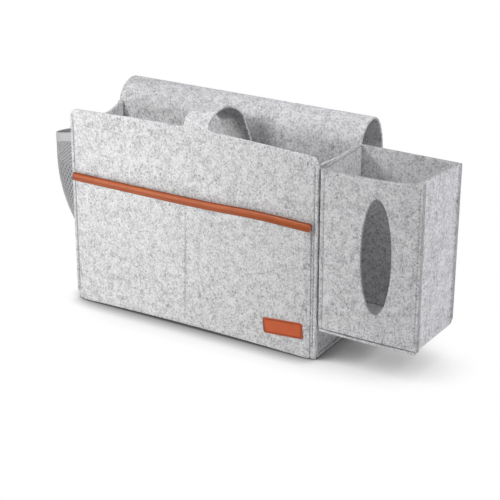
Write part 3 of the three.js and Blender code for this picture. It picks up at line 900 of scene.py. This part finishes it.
def front_pocket():
    outline = rectangle((-POCKET_X, 0), (POCKET_X, POCKET_TOP), POCKET_CORNERS)
    middle = (SEAM_TOP_X + SEAM_BOTTOM_X) / 2
    columns = stations(-POCKET_X, POCKET_X, 4, (middle, 4, 0.4), (-POCKET_X, 8, 1.5), (POCKET_X, 8, 1.5))
    rows = stations(0, POCKET_TOP, 3.5, (8, 8, 0.8))
    felt_piece(["front_pocket"], "bag", pocket_bend, outline, columns, rows,
               press=pocket_press, shade=pocket_shade)


BINDING_FOLD = FELT / 2 + GAP + BINDING / 2
BINDING_LEG = BINDING_HEIGHT - BINDING_FOLD - BINDING / 2
BINDING_ROUTE = Route(
    straight((-BINDING_FOLD, -BINDING_LEG), (-BINDING_FOLD, 0)),
    arc((0, 0), BINDING_FOLD, 180, 0),
    straight((BINDING_FOLD, 0), (BINDING_FOLD, -BINDING_LEG)),
)


def binding_bend(s, t):
    out, up = BINDING_ROUTE.at(t)
    x = np.clip(s, -POCKET_X, POCKET_X)
    y = pocket_y(x, POCKET_TOP + np.minimum(up, 0)) + out
    return joined(s, y, pocket_z(x, np.full(len(s), POCKET_TOP)) + up)


def binding_press(s, t):
    crown = BINDING_CROWN * np.sin(math.pi * np.clip(t / BINDING_LEG, 0, 1))
    return groove(t - BINDING_LINE, *BINDING_GROOVE) - crown


def binding_shade(s, t):
    """Painted shade along the stitches and inside the mouth, and a painted highlight along the fold, where
    the painted shade on the rest of the body is left out.
    """
    fold = INSIDE_SHADE * smooth((t - BINDING_LEG - INSIDE_START) / INSIDE_FADE)
    painted_highlight = groove(t - BINDING_LEG, BINDING_PAINTED_HIGHLIGHT, BINDING_SHADE)
    return BINDING_SHADE + fold - painted_highlight + groove(t - BINDING_LINE, *BINDING_LINE_SHADE)


def pocket_binding():
    area = (-POCKET_X - BINDING_LAP[0], 0), (POCKET_X + BINDING_LAP[1], BINDING_ROUTE.length)
    outline = rectangle(*area, BINDING_CORNER)
    piece = cloth("pocket_binding_tan", BINDING_LOOK, binding_bend, outline, *grid(*area, 3, 0.5),
                  thickness=BINDING, edge=BINDING_EDGE, press=binding_press, shade=binding_shade)
    dress(piece, "bag", "tan_binding", "pocket_binding")
    low, high = BINDING_STITCH
    rows = [seam(binding_bend, [(x, low), (x, high)], BINDING_SINK, thickness=BINDING)
            for x in np.arange(-POCKET_X, POCKET_X, BINDING_PITCH)]
    stitches("binding_thread", BINDING_LOOK, rows, "bag", (high - low, high - low, BINDING_THREAD))


def label_bend(s, t):
    """The label lies on the pocket, and rises to the right."""
    x = LABEL_X + s * math.cos(LABEL_TILT) - t * math.sin(LABEL_TILT)
    z = LABEL_Z + s * math.sin(LABEL_TILT) + t * math.cos(LABEL_TILT)
    out = FELT / 2 + LABEL / 2 + LABEL_GAP
    return joined(x, pocket_y(x, z) - out, z + bottom_lift(x, z))


def label_patch():
    half = np.array(LABEL_SIZE) / 2

    def press(s, t):
        return groove(from_rim(half, s, t) - LABEL_INSET, *LABEL_GROOVE)

    # Painted shade in the groove of the stitched border.
    def shade(s, t):
        return 2 * press(s, t)

    outline = rectangle(-half, half, LABEL_CORNER)
    piece = cloth("label_patch_tan", LABEL_LOOK, label_bend, outline, *grid(-half, half, 1.0, 0.6),
                  thickness=LABEL, edge=LABEL_EDGE, step=0.8, press=press, shade=shade,
                  edge_shade=LABEL_EDGE_SHADE)
    dress(piece, "bag", "tan_label", "label_patch")
    inner = half - LABEL_INSET
    line = border(-inner, inner, LABEL_CORNER - LABEL_INSET)
    row = seam(label_bend, line, LABEL_SINK, thickness=LABEL)
    stitches("label_thread", TAN_THREAD_LOOK, [row], "bag", LABEL_SEWING)


# Net pocket on the left side

NET_X = -WALL_X - GAP
NET_BULGE = NET_X - RIM_OUT - RIM / 2
NET_HALF = RIM_BACK - RIM / 2
NET_TALL = NET_STRETCH * (RIM_TOP - NET_BOTTOM)
NET_PLAN = Route(arc((0, 0), (NET_BULGE, NET_HALF), -90, 90, 400))


def rim_top(share, y):
    """The rim sags between its sewn ends, and is a little lower at the back."""
    return RIM_TOP - RIM_SAG * share - RIM_TILT * (1 + y / NET_HALF) / 2


def net_bend(s, t):
    """s runs round the mouth from front to back, and t up the net from its sewn bottom, from 0 to 1."""
    out, y = NET_PLAN.at(s)
    out = out / NET_BULGE
    turn = np.clip(t / NET_ROUND_SHARE, 0, 1) * math.pi / 2
    rise = np.clip((t - NET_ROUND_SHARE) / (1 - NET_ROUND_SHARE), 0, None)
    full = NET_BOTTOM + NET_ROUND
    z = full - NET_ROUND * np.cos(turn) + rise * (rim_top(out, y) - RIM_LAP - full)
    bulge = NET_BULGE * (NET_FOOT + (1 - NET_FOOT) * np.sin(turn))
    return joined(NET_X - bulge * out, y, z)


def net_shade_sheet():
    """A thin dark sheet behind the strands, as painted shade: it darkens the gaps between them."""
    def bend(s, t):
        return net_bend(s, t / NET_TALL)

    area = (0, NET_SHADE_SHEET_START), (NET_PLAN.length, NET_TALL)
    piece = cloth("net_pocket_shade_sheet", NET_SHADE_SHEET_LOOK, bend, rectangle(*area), *grid(*area, 3, 3),
                  thickness=NET_SHADE_SHEET, edge=NET_SHADE_SHEET_EDGE)
    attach(piece, "bag")


def net_pocket():
    """Knitted net: two sets of strands that cross on the slant."""
    columns = int(round(NET_PLAN.length / NET_PITCH))
    rows = int(round(NET_TALL / NET_PITCH))
    steps = np.arange(0, rows + NET_STEP / 2, NET_STEP)
    strands = []
    for way in (1, -1):
        for start in range(-rows, columns + rows):
            across = start + way * steps
            keep = (across >= 0) & (across <= columns)
            if keep.sum() < 3:
                continue
            s = across[keep] * NET_PLAN.length / columns
            t = steps[keep] / rows
            normal = -directions(net_bend, s, t * 0.998 + 0.001, 0.001)[2]
            weave = NET_SHADE_SHEET + NET_WEAVE * way * np.cos(math.pi * steps[keep] * 2)
            strands.append((net_bend(s, t) + normal * weave[:, None], normal))
    points, faces = tubes(strands, *NET_STRAND, NET_SIDES)
    dress(new_piece("net_pocket_mesh", points, faces, NET_LOOK), "bag", "net", "net_pocket")


RIM_ROUTE = Route(
    straight((RIM_FOLD, -RIM_HEIGHT + RIM_FOLD), (RIM_FOLD, -RIM_FOLD)),
    arc((0, -RIM_FOLD), RIM_FOLD, 0, 180),
    straight((-RIM_FOLD, -RIM_FOLD), (-RIM_FOLD, -RIM_HEIGHT + RIM_FOLD)),
)


def rim_bend(s, t):
    """Elastic tape folded over the top of the net."""
    out, y = NET_PLAN.at(s)
    away = unit(joined(out / NET_BULGE**2, y / NET_HALF**2))
    offset, down = RIM_ROUTE.at(t)
    x = NET_X - out - away[:, 0] * offset
    return joined(x, y + away[:, 1] * offset, rim_top(out / NET_BULGE, y) + down)


def net_rim():
    length = NET_PLAN.length
    columns = stations(0, length, 0.45)
    rows = stations(0, RIM_ROUTE.length, 1.2, (RIM_HEIGHT, 2, 0.3))

    def press(s, t):
        ribs = RIB_DEPTH * (1 - np.cos(2 * math.pi * s / RIB_PITCH))
        return ribs + groove(t - RIM_ROW, *RIM_GROOVE)

    outline = rectangle((0, 0), (length, RIM_ROUTE.length), RIM_CORNER)
    piece = cloth("net_rim_elastic", ELASTIC_LOOK, rim_bend, outline, columns, rows,
                  thickness=RIM_LEAF, edge=RIM_EDGE, step=0.9, press=press)
    dress(piece, "bag", "elastic", "net_rim")
    ends = [(RIM_ROW, RIM_ROW), (length - RIM_ROW, RIM_ROW)]
    row = seam(rim_bend, ends, RIM_SINK, thickness=RIM_LEAF)
    stitches("rim_thread", THREAD_LOOK, [row], "bag", TAPE_SEWING)


# Tissue box

BOX_WALL_Z = BOX_LIFT + FELT + GAP
BOX_MIDDLE = (BOX_X + BOX_RIGHT) / 2
BOX_DEPTH = BOX_BACK - BOX_FRONT


def box_top(x, y):
    """The walls are level, but the front right corner stands higher."""
    corner = ((x - BOX_X) / (BOX_RIGHT - BOX_X)) ** 4
    return BOX_TOP_Z + (BOX_PEAK_Z - BOX_TOP_Z) * corner * (1 - smooth((y - BOX_FRONT) / BOX_DEPTH))


def box_front_route():
    turn = BOX_CORNER - FELT / 2
    left, front = BOX_X + FELT / 2, BOX_FRONT + FELT / 2
    return Route(
        straight((left, BOX_BACK - FELT - GAP), (left, front + turn)),
        arc((left + turn, front + turn), turn, 180, 270, 80),
        straight((left + turn, front), (BOX_RIGHT, front)),
    )


BOX_FRONT_ROUTE = box_front_route()
BOX_SIDE_ROUTE = side_route(
    BOX_RIGHT, BOX_DEPTH / 2 - 1.5 * FELT - GAP, (BOX_FRONT + BOX_BACK) / 2, BOX_BACK_RIDGE
)
BOX_BACK_ROUTE = Route(straight((BOX_RIGHT, BOX_BACK - FELT / 2), (BOX_X, BOX_BACK - FELT / 2)))
BOX_LEFT_AT = BOX_FRONT_ROUTE.length - (BOX_RIGHT - BOX_X)
BOX_STITCH_AT = BOX_FRONT_ROUTE.length - STITCH_INSET


def tapered(y, z):
    """The box is a little less deep at its foot: its back edge leans forward."""
    low = np.clip((BOX_TOP_Z - z) / (BOX_TOP_Z - BOX_LIFT), 0, 1)
    return y - BOX_TAPER * low * (y - BOX_FRONT) / BOX_DEPTH


def wall_bend(route):
    def bend(s, t):
        x, y = route.at(s)
        return joined(x, tapered(y, t), t)

    return bend


def box_wall(node, route, foot, fine, **faces):
    """A wall of the box on its plan. foot is its lower edge, and fine says where grid lines are closer."""
    along = np.linspace(route.length, 0, 80)
    outline = np.vstack([foot, joined(along, box_top(*route.at(along)))])
    columns = stations(0, route.length, 3.2, *fine)
    rows = stations(BOX_LIFT, BOX_PEAK_Z, 3.2, (BOX_TOP_Z - 1, 2, 0.5))
    # The walls' cut edges get painted shade.
    felt_piece([node], "tissue_box", wall_bend(route), outline, columns, rows, BOX_EDGE_SHADE, **faces)


def slot_outline():
    middle = BOX_FRONT_ROUTE.length - (BOX_RIGHT - BOX_MIDDLE - SLOT_OFFSET)
    return arc((middle, BOX_LIFT + SLOT_LIFT), (SLOT[0] / 2, SLOT[1] / 2), 360, 0, 121)[:-1]


def cut_corner(at_s, toward, foot_z):
    """A lower corner cut away in a short curve, from the foot up to the edge."""
    wide, high = BOX_LOW_CORNER
    start = 270 if toward > 0 else 180
    return arc((at_s - toward * wide, foot_z + high), BOX_LOW_CORNER, start, start + 90, 8)


def tissue_front():
    """The front and the left wall in one, with a pinched bead beside their corner and an oval slot."""
    corner = BOX_LEFT_AT + BOX_CORNER / 2
    pinch_at = BOX_LEFT_AT + BOX_PINCH

    def press(s, t):
        sewn = groove(s - BOX_STITCH_AT, *BOX_GROOVE) + groove(s - pinch_at, *PINCH_GROOVE)
        return sewn - groove(s - pinch_at + BOX_BEAD, *BEAD_SHAPE)

    # Painted shade in a line along the pinch.
    def shade(s, t):
        return groove(s - pinch_at, SHADE_WIDTH, BOX_PINCH_SHADE)

    # Painted shadow just below the top of the left wall's inner face.
    def rim_shade(s, t):
        below = smooth((t - BOX_TOP_Z + BOX_RIM_DEPTH) / BOX_RIM_FADE)
        return BOX_RIM_SHADE * below * smooth((corner - s) / BOX_RIM_END)

    fine = ((corner, 2 * BOX_CORNER, 0.6), (BOX_STITCH_AT, 3, 0.6))
    foot = straight((0, BOX_WALL_Z), (BOX_FRONT_ROUTE.length, BOX_WALL_Z))
    box_wall("tissue_front", BOX_FRONT_ROUTE, foot, fine, holes=[slot_outline()],
             press=press, shade=shade, shade_under=rim_shade)


def tissue_side():
    length = BOX_SIDE_ROUTE.length
    low = BOX_LIFT + GAP
    foot = straight((0, BOX_WALL_Z), (SEAM_RIDGE, BOX_WALL_Z), (SEAM_RIDGE + FOLD, low))
    foot = np.vstack([foot, cut_corner(length, 1, low)])
    box_wall("tissue_side", BOX_SIDE_ROUTE, foot, turned_out(length))


def tissue_back():
    end = straight((BOX_BACK_ROUTE.length, BOX_WALL_Z))
    foot = np.vstack([cut_corner(0, -1, BOX_WALL_Z), end])
    box_wall("tissue_back", BOX_BACK_ROUTE, foot, ((STITCH_INSET, 3, 0.8),))


def tissue_base():
    """The base sags a little, and stops inside the right wall."""
    wall = BOX_RIGHT - SEAM_RIDGE - FELT - GAP
    back_wall = BOX_RIGHT - BOX_BACK_RIDGE - FELT - GAP
    front_right = BOX_RIGHT - BOX_BASE_INSET

    def bend(s, t):
        across = 2 * (s - BOX_X) / (BOX_RIGHT - BOX_X) - 1
        depth = 2 * (t - BOX_FRONT) / BOX_DEPTH - 1
        sag = BOX_SAG * np.clip(1 - across**2, 0, 1) * np.clip(1 - depth**4 / 2, 0, 1)
        sag *= 1 - smooth(depth)
        return joined(s, tapered(t, BOX_LIFT), BOX_LIFT + FELT / 2 - sag)

    # Painted shade over the whole face of the base that shows through the slot.
    def shade(s, t):
        return np.full(len(s), BOX_BASE_SHADE)

    outline = np.vstack([
        arc((BOX_X + BOX_CORNER, BOX_FRONT + BOX_CORNER), BOX_CORNER, 180, 270, 9),
        straight((front_right, BOX_FRONT), (front_right, BOX_FRONT + BOX_BASE_INSET)),
        straight((wall, BOX_FRONT + 2 * FELT), (back_wall, BOX_BACK - 2 * FELT)),
        straight((back_wall, BOX_BACK), (BOX_X, BOX_BACK)),
    ])
    lines = grid((BOX_X, BOX_FRONT), (BOX_RIGHT, BOX_BACK), 5, 5)
    felt_piece(["tissue_base"], "tissue_box", bend, outline, *lines, shade=shade)


# Hook-and-loop pads


def pad(node, body, look, slot, along):
    """A pad with a flat woven border, and its line of stitches. It lies along a direction and upright."""
    low, high = place(node)
    centre = (low + high) / 2
    along, up = np.array(along, float), np.array((0.0, 0.0, 1.0))
    half = np.array([abs((high - low) @ along), abs((high - low) @ up)]) / 2
    thickness = abs((high - low) @ np.cross(along, up))

    def bend(s, t):
        return centre + s[:, None] * along + t[:, None] * up

    def press(s, t):
        return PAD_PRESS * smooth((PAD_BORDER - from_rim(half, s, t)) / PAD_SLOPE)

    outline = rectangle(-half, half, PAD_CORNER)
    lines = grid(-half, half, PAD_STEP, PAD_STEP)
    piece = cloth(node + "_woven", look, bend, outline, *lines, thickness=thickness,
                  edge=PAD_EDGE, step=PAD_STEP, press=press)
    dress(piece, body, slot, node)
    inner = half - PAD_INSET
    return seam(bend, border(-inner, inner), PAD_SINK, thickness=thickness)


def pads():
    """Loop pads on the back and on the right gusset, and the box's hook pads that meet the latter."""
    rows = [pad(node, "bag", LOOP_LOOK, "loop_pile", (-1, 0, 0)) for node in REAR_PADS]
    for node in ("side_loop_pad_front", "side_loop_pad_back"):
        rows.append(pad(node, "bag", LOOP_LOOK, "loop_pile", (0, 1, 0)))
    hooks = [pad(node, "tissue_box", HOOK_LOOK, "hook_tape", (0, -1, 0))
             for node in ("hook_pad_front", "hook_pad_back")]
    stitches("loop_pad_thread", LOOP_LOOK, rows, "bag", TAPE_SEWING)
    stitches("hook_pad_thread", HOOK_LOOK, hooks, "tissue_box", TAPE_SEWING)


# Seams


def bag_seams():
    """Rows beside the ridges, on the strap's sewn tail and on the back, and down the pocket's middle."""
    rows = []
    for x in (-STITCH_X, STITCH_X):
        rows.append(seam(front_bend, [(x, z) for z in FRONT_ROW], FRONT_SINK))
        rows.append(seam(back_bend, [(x, BACK_ROW_FOOT), (x, BEND_Z)], BACK_SINK, -1))
    reach = STRAP_HALF - TAIL_INSET
    tail = border((STRAP_X - reach, STRAP_END - TAIL_HEIGHT), (STRAP_X + reach, STRAP_END - TAIL_INSET))
    rows.append(seam(front_bend, tail, LAID_SINK, -1))
    stitches("bag_thread", THREAD_LOOK, rows + back_seams(), "bag")
    middle = seam(pocket_bend, [(seam_x(z), z) for z in SEAM_ROW], SEAM_SINK)
    stitches("pocket_thread", PALE_THREAD_LOOK, [middle], "bag", POCKET_SEWING)


def back_seams():
    """Stitches that hold the two rear pads show inside the back, as does a row up the bend's right."""
    rows = []
    for node in REAR_PADS:
        low, high = place(node)
        line = border(low[::2] + PAD_INSET, high[::2] - PAD_INSET)
        rows.append(seam(back_bend, line, LAID_SINK))
    rows.append(seam(back_bend, [(BACK_ROW_X, BEND_Z), (BACK_ROW_X, BACK_ROW_END)], LAID_SINK))
    return rows


def box_seams():
    front = [(BOX_STITCH_AT, BOX_WALL_Z + BOX_ROW_FOOT), (BOX_STITCH_AT, BOX_TOP_Z)]
    back = [(STITCH_INSET, BOX_WALL_Z + BACK_FOOT), (STITCH_INSET, BOX_TOP_Z - BOX_ROW_DROP)]
    rows = [
        seam(wall_bend(BOX_FRONT_ROUTE), front, BOX_SINK),
        seam(wall_bend(BOX_BACK_ROUTE), back, LAID_SINK),
    ]
    stitches("box_thread", THREAD_LOOK, rows, "tissue_box")


# Stage: a pale floor, soft lights and the photograph's camera

FLOOR_HALF, FLOOR_Z = 2500.0, -0.4
FLOOR_BOUNCE = (0.75, 0.75, 0.75, 1)
CONTACT_SAMPLES = 16

# Painted contact shadows on the floor: reach in metres, shares of open sky from darkest to lightest, the
# darkest level, and the way they face
PAINTED_CONTACT_SHADOWS = (
    {"reach": 0.033, "shade": (0.42, 0.88), "dark": 0.3, "side": (0.0, 0.0, 1.0)},
    {"reach": 0.10, "shade": (0.24, 0.74), "dark": 0.40, "side": (-0.5, 0.0, 0.87)},
    {"reach": 0.06, "shade": (0.2, 0.62), "dark": 0.25, "side": (-0.87, 0.0, 0.5)},
)
WORLD_LIGHT = 0.13
WHITE, COOL = (1, 1, 1), (0.96, 0.95, 1.0)

# Lamps: where they stand and aim and their size in metres, power in watts, colour, spread in degrees
LAMPS = {
    "key": ((-0.2, -0.62, 0.55), (-0.06, 0.0, 0.08), (0.16, 0.16), 1.15, WHITE, 120),
    "left": ((-0.38, -0.52, 0.10), (-0.06, 0.0, 0.06), (0.3, 0.15), 0.76, WHITE),
    "overhead": ((0.30, -0.02, 0.95), (0.24, 0.0, 0.1), (0.5, 0.4), 2.55),
    "front": ((-0.25, -0.5, 0.9), (-0.05, 0.0, 0.15), (0.7, 0.4), 0.85),
    "right": ((0.85, -0.05, 0.50), (0.28, 0.0, 0.14), (0.4, 0.4), 2.0),
    "back": ((-0.20, 0.95, 0.60), (0.0, 0.05, 0.15), (0.8, 0.5), 2.4),
    "low right": ((0.80, 0.0, 0.07), (0.2, 0.0, 0.05), (0.3, 0.1), 0.4),
}


def camera():
    azimuth, elevation = math.radians(VIEW_AZIMUTH), math.radians(VIEW_ELEVATION)
    right = Vector((math.cos(azimuth), math.sin(azimuth), 0))
    level = math.cos(elevation)
    back = Vector((math.sin(azimuth) * level, -math.cos(azimuth) * level, math.sin(elevation)))
    up = back.cross(right)
    eye = (VIEW_AIM[0] * right + VIEW_AIM[1] * up + VIEW_DISTANCE * back) * MM
    data = bpy.data.cameras.new("camera")
    data.sensor_width = SENSOR
    data.lens = SENSOR * VIEW_FOCAL_SHARE
    data.clip_start, data.clip_end = CLIP
    view = new_object("camera", data)
    view.matrix_world = Matrix.Translation(eye) @ Matrix((right, up, back)).transposed().to_4x4()
    bpy.context.scene.camera = view


def softbox(name, place_at, aim, size, power, colour=COOL, spread=180):
    data = bpy.data.lights.new(name, "AREA")
    data.shape = "RECTANGLE"
    data.size, data.size_y = size
    data.energy = power
    data.spread = math.radians(spread)
    data.color = colour
    lamp = new_object(name, data)
    lamp.location = place_at
    lamp.rotation_euler = (Vector(aim) - Vector(place_at)).to_track_quat("-Z", "Y").to_euler()


def world():
    """Even light from all round, seen as white by the camera and in reflections."""
    sky = bpy.data.worlds.new("studio")
    sky.use_nodes = True
    bpy.context.scene.world = sky
    nodes = Nodes(sky.node_tree)
    rays = nodes.add("LightPath").outputs
    seen = rays["Is Camera Ray"]
    for kind in ("Is Glossy Ray", "Is Transmission Ray"):
        seen = nodes.math("MAXIMUM", seen, rays[kind])
    strength = nodes.level(seen, 0.0, 1.0, WORLD_LIGHT)
    nodes.fill(sky.node_tree.nodes["Background"], {"Color": (*WHITE, 1), "Strength": strength})


def floor_finish():
    """White to the camera, with painted contact shadows: darker where the object shuts off the sky, most
    of all to its right.
    """
    ground = Finish("floor", {"Roughness": 1.0, "Specular IOR Level": 0.0, "Base Color": FLOOR_BOUNCE})
    bright = 1.0
    for contact in PAINTED_CONTACT_SHADOWS:
        side = ground.add("CombineXYZ", dict(zip("XYZ", contact["side"]))).outputs["Vector"]
        inputs = {"Distance": contact["reach"], "Normal": side}
        open_sky = ground.add("AmbientOcclusion", inputs, samples=CONTACT_SAMPLES).outputs["AO"]
        share = ground.level(open_sky, *contact["shade"], contact["dark"])
        bright = ground.math("MULTIPLY", share, bright)
    # The floor's camera colour is an emission, so its shadows are painted and not cast by the lamps.
    white = ground.add("Emission", {"Strength": bright}).outputs["Emission"]
    seen = ground.add("LightPath").outputs["Is Camera Ray"]
    either = ground.add("MixShader", {0: seen, 1: ground.shader.outputs["BSDF"], 2: white})
    ground.fill(ground.tree.nodes["Material Output"], {"Surface": either.outputs["Shader"]})
    return ground.material


def floor():
    corners = rectangle((-FLOOR_HALF, -FLOOR_HALF), (FLOOR_HALF, FLOOR_HALF))
    ground = new_piece("floor", [(x, y, FLOOR_Z) for x, y in corners], [(0, 1, 2, 3)], floor_finish())


def stage():
    camera()
    world()
    floor()
    for name, lamp in LAMPS.items():
        softbox(name, *lamp)
    bpy.context.scene.view_settings.view_transform = "Standard"


front_panel()
back_panel()
gusset("left_gusset", -1, LEFT_LEAN, LEFT_DROP, LEFT_SAG)
gusset("right_gusset", 1, RIGHT_LEAN, RIGHT_DROP, RIGHT_SAG)
base_panel()
front_pocket()
pocket_binding()
label_patch()
net_shade_sheet()
net_pocket()
net_rim()
tissue_front()
tissue_side()
tissue_back()
tissue_base()
pads()
bag_seams()
box_seams()
stage()
